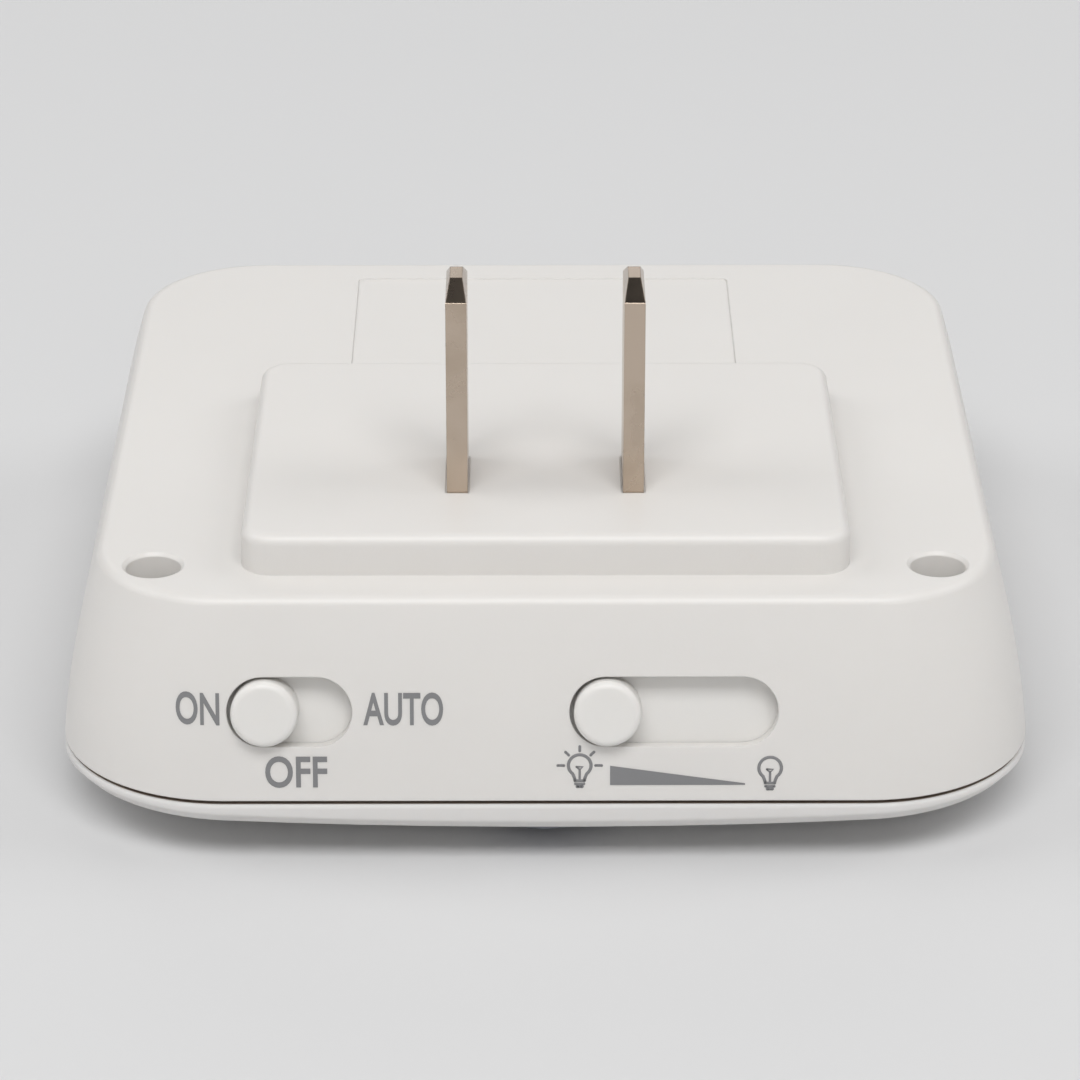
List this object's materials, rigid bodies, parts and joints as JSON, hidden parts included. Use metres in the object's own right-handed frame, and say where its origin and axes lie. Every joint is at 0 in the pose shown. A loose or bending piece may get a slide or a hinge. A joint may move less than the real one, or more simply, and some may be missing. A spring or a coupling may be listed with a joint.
{
  "type": "plug in night light",
  "caption": "Square plug in night light with a bulging housing, flat plug blades, a mode slider, a brightness slider, a domed light sensor window and a crowned front cover.",
  "frame": {"origin": "centre of the flat plug face, midway between the two blades", "axes": "+Z out of the plug face along the blades, +Y away from the side that carries the two sliders, +X to the right when that side is seen with the blades up"},
  "size_m": [0.0702, 0.0706, 0.0384],
  "materials": {
    "white_shell": "fine satin moulded surface",
    "diffuser": "satin translucent",
    "knob": "satin",
    "window": "clear",
    "nickel_blade": "plated, smooth",
    "steel": "plain",
    "black_plastic": "moulded",
    "board": "solder mask",
    "led": "clear over yellow",
    "sensor": "clear dark",
    "film_case": "smooth",
    "can": "sleeved",
    "brass_contact": "bright",
    "wire_sleeve": "smooth",
    "wire_sleeve_pale": "smooth"
  },
  "bodies": {
    "housing": {"rear_housing": "white_shell", "front_cover": "diffuser", "sensor_window": "window", "blade_left": "nickel_blade", "blade_right": "nickel_blade", "blade_holder": "black_plastic", "holder_screws": "steel", "housing_screws": "steel", "mode_switch_base": "black_plastic", "mode_switch_frame": "steel", "mode_switch_pins": "brass_contact", "dimmer_base": "black_plastic", "dimmer_frame": "steel", "dimmer_pins": "brass_contact", "circuit_board": "board", "board_screws": "steel", "leds": "led", "light_sensor": "sensor", "film_capacitor": "film_case", "electrolytic_capacitor": "can", "bridge_rectifier": "black_plastic", "control_chip": "black_plastic", "chip_resistors": "black_plastic", "fuse_resistor": "film_case", "live_wire": "wire_sleeve", "neutral_wire": "wire_sleeve_pale"},
    "mode_slider": {"mode_knob": "knob", "mode_switch_slider": "black_plastic", "mode_switch_contact": "brass_contact"},
    "dimmer_slider": {"dimmer_knob": "knob", "dimmer_slider": "black_plastic", "dimmer_wiper": "brass_contact"}
  },
  "joints": [
    {"name": "mode_slide", "type": "slide", "parent": "housing", "child": "mode_slider", "axis": [1, 0, 0], "range_m": [0, 0.0035]},
    {"name": "dimmer_slide", "type": "slide", "parent": "housing", "child": "dimmer_slider", "axis": [1, 0, 0], "range_m": [0, 0.0094]}
  ]
}
